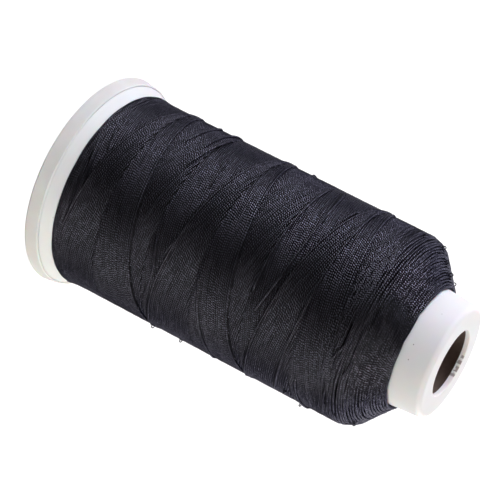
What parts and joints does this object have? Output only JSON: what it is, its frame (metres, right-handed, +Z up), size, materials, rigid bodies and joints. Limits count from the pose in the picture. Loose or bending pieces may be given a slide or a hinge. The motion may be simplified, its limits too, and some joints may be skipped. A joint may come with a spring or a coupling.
{
  "type": "spool of thread",
  "caption": "Wide-base spool of cross-wound sewing thread with a snap base, a brown core tube and a white nose collar.",
  "frame": {"origin": "centre of the underside of the snap base, on the spool's axis", "axes": "+Z up the spool's axis from the wide base to the nose; the spool is nearly round about Z"},
  "size_m": [0.0622, 0.0622, 0.115],
  "materials": {
    "base_plastic": "satin",
    "flange_plastic": "satin",
    "collar_plastic": "satin",
    "tube_board": "matte",
    "thread": "satin"
  },
  "bodies": {
    "spool": {"base_flange": "flange_plastic", "core_tube": "tube_board", "nose_collar": "collar_plastic", "thread_package": "thread", "outer_turns": "thread"},
    "base": {"snap_base": "base_plastic"}
  },
  "joints": [
    {"name": "base_snap", "type": "slide", "parent": "spool", "child": "base", "axis": [0, 0, -1], "range_m": [0, 0.003]}
  ]
}
